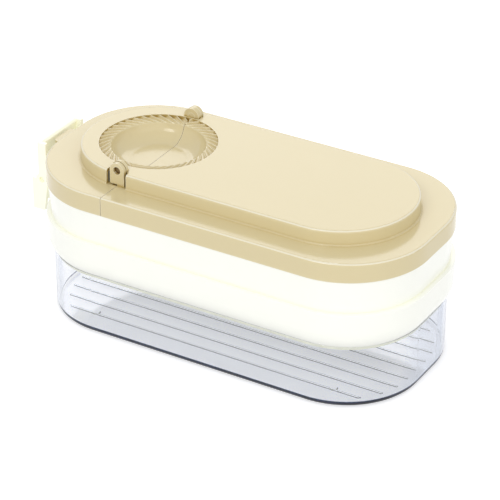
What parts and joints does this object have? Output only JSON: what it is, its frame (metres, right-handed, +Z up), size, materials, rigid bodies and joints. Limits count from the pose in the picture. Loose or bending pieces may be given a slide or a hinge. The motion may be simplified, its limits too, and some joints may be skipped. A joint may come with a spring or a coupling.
{
  "type": "dumpling maker",
  "caption": "Long stacking food box with a clear base, ivory trays and a beige lid whose hinged end folds over as a fluted dumpling mould.",
  "frame": {"origin": "on the surface it stands on, under the middle of the lid", "axes": "+Z up, +X along the long side away from the mould, -Y towards the front"},
  "size_m": [0.2888, 0.1386, 0.1204],
  "materials": {
    "clear": "clear plastic, polished",
    "ivory": "semi-gloss",
    "beige": "satin"
  },
  "bodies": {
    "box": {"base_box": "clear"},
    "lower_tray": {"lower_tray": "ivory"},
    "upper_tray": {"upper_tray": "ivory", "latch_pin": "ivory"},
    "lid": {"lid_main": "beige", "hinge_pin_front": "beige", "hinge_pin_rear": "beige"},
    "flap": {"lid_flap": "beige"},
    "latch": {"latch": "ivory"}
  },
  "joints": [
    {"name": "lower_tray_lift", "type": "slide", "parent": "box", "child": "lower_tray", "axis": [0, 0, 1], "range_m": [0, 0.05]},
    {"name": "upper_tray_lift", "type": "slide", "parent": "lower_tray", "child": "upper_tray", "axis": [0, 0, 1], "range_m": [0, 0.05]},
    {"name": "lid_lift", "type": "slide", "parent": "upper_tray", "child": "lid", "axis": [0, 0, 1], "range_m": [0, 0.05]},
    {"name": "flap_fold", "type": "hinge", "parent": "lid", "child": "flap", "pos_m": [-0.0669, 0, 0.1148], "axis": [0, 1, 0], "range_deg": [0, 180]},
    {"name": "latch_turn", "type": "hinge", "parent": "upper_tray", "child": "latch", "pos_m": [-0.1454, 0, 0.0745], "axis": [0, -1, 0], "range_deg": [-5, 14]}
  ]
}
